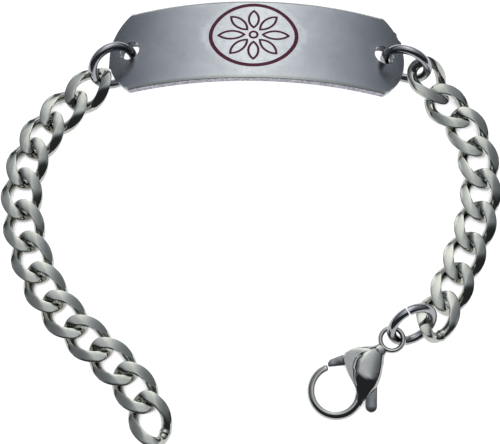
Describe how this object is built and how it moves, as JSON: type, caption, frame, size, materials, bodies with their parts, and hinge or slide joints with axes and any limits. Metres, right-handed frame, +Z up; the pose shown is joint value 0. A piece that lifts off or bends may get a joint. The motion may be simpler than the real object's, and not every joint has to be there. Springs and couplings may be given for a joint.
{
  "type": "id bracelet",
  "caption": "Curved identity plate on a flat curb chain with a lobster clasp, lying open on a table.",
  "frame": {"origin": "on the table under the middle of the whole, where the bracelet lies open", "axes": "+X towards the clasp's chain, along the plate; +Y from the chain's two ends towards the plate; +Z up from the table"},
  "size_m": [0.0832, 0.0744, 0.0106],
  "materials": {
    "plate_steel": "dark satin polish, fine lines along the plate",
    "enamel": "dark red enamel, fired smooth",
    "chain_steel": "dark polished steel, outer faces ground flat",
    "ring_steel": "dark polished steel wire",
    "clasp_steel": "dark polished cast steel",
    "lever_steel": "satin stamped steel",
    "pin_steel": "turned steel"
  },
  "bodies": {
    "bracelet": {"plate": "plate_steel", "emblem_enamel": "enamel", "plate_ring_left": "ring_steel", "plate_ring_right": "ring_steel", "link_left_01": "chain_steel", "link_left_02": "chain_steel", "link_left_03": "chain_steel", "link_left_04": "chain_steel", "link_left_05": "chain_steel", "link_left_06": "chain_steel", "link_left_07": "chain_steel", "link_left_08": "chain_steel", "link_left_09": "chain_steel", "link_left_10": "chain_steel", "link_left_11": "chain_steel", "link_left_12": "chain_steel", "link_left_13": "chain_steel", "link_right_01": "chain_steel", "link_right_02": "chain_steel", "link_right_03": "chain_steel", "link_right_04": "chain_steel", "link_right_05": "chain_steel", "link_right_06": "chain_steel", "link_right_07": "chain_steel", "link_right_08": "chain_steel", "link_right_09": "chain_steel", "clasp_ring": "ring_steel", "clasp_body": "clasp_steel", "clasp_pin": "pin_steel"},
    "lever": {"clasp_lever": "lever_steel"}
  },
  "joints": [
    {"name": "lever_hinge", "type": "hinge", "parent": "bracelet", "child": "lever", "pos_m": [0.01764, -0.02316, 0.00229], "axis": [-0.0909, -0.0812, 0.9925], "range_deg": [0, 27], "stiffness_Nm_per_rad": 0.01, "springref_deg": -28.65}
  ]
}
